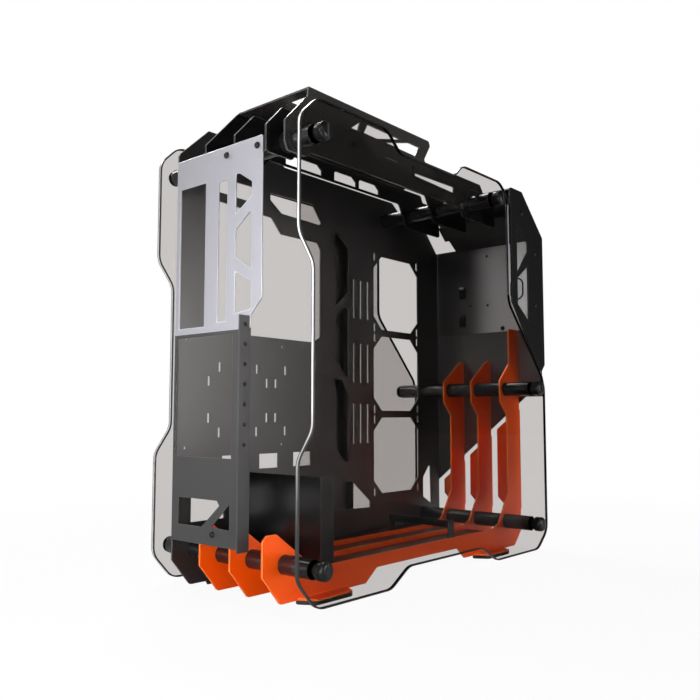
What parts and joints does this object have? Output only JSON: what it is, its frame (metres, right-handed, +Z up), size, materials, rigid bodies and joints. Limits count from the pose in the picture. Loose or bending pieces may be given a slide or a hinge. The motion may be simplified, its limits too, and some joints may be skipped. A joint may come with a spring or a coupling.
{
  "type": "mid tower computer case",
  "caption": "Open-frame mid tower computer case: clear glass side panes clamped on cross rods, orange lower blades, black tray with fan openings, silver rear bracket and sloped port face.",
  "frame": {"origin": "middle of the underside of the bounding box, on the standing surface", "axes": "+Z up, +Y towards the rear with the card frame, -X towards the open side with the thumb nuts"},
  "size_m": [0.2538, 0.5364, 0.5425],
  "materials": {
    "clear_glass": "clear, slightly grey",
    "orange_paint": "satin powder coat",
    "black_paint": "satin powder coat",
    "silver_metal": "fine satin",
    "black_anodised": "satin anodised",
    "foot_rubber": "matt",
    "black_plastic": "fine grain",
    "port_steel": "plated",
    "board_laminate": "matt"
  },
  "bodies": {
    "case": {"left_glass": "clear_glass", "right_glass": "clear_glass", "fin_left": "orange_paint", "fin_middle": "orange_paint", "fin_right": "orange_paint", "tray": "black_paint", "upper_fin_left": "black_paint", "upper_fin_middle": "black_paint", "upper_fin_right": "black_paint", "handle_rail": "black_paint", "rear_plate": "black_paint", "supply_bracket": "black_paint", "supply_stop": "black_paint", "floor_left": "black_paint", "floor_middle": "black_paint", "floor_right": "black_paint", "front_panel": "black_paint", "port_cover": "black_paint", "port_side": "black_paint", "cable_channel": "black_paint", "rear_bracket": "silver_metal", "rod_rear_low": "black_anodised", "rod_front_low": "black_anodised", "rod_front_mid": "black_anodised", "rod_front_top": "black_anodised", "rod_rear_top": "black_anodised", "thumb_nuts": "black_anodised", "cap_nuts": "black_anodised", "foot_rear_left": "foot_rubber", "foot_front_left": "foot_rubber", "foot_rear_right": "foot_rubber", "foot_front_right": "foot_rubber", "switches": "black_plastic", "audio_jacks": "black_plastic", "usb_ports": "port_steel", "usb_c_port": "port_steel", "board_posts": "port_steel", "port_board": "board_laminate"},
    "power_button": {"power_button": "black_plastic"},
    "reset_button": {"reset_button": "black_plastic"}
  },
  "joints": [
    {"name": "power_button_press", "type": "slide", "parent": "case", "child": "power_button", "axis": [0, 0.6889, -0.7248], "range_m": [0, 0.0015], "stiffness_N_per_m": 400, "springref_m": -0.001},
    {"name": "reset_button_press", "type": "slide", "parent": "case", "child": "reset_button", "axis": [0, 0.6889, -0.7248], "range_m": [0, 0.0015], "stiffness_N_per_m": 400, "springref_m": -0.001}
  ]
}
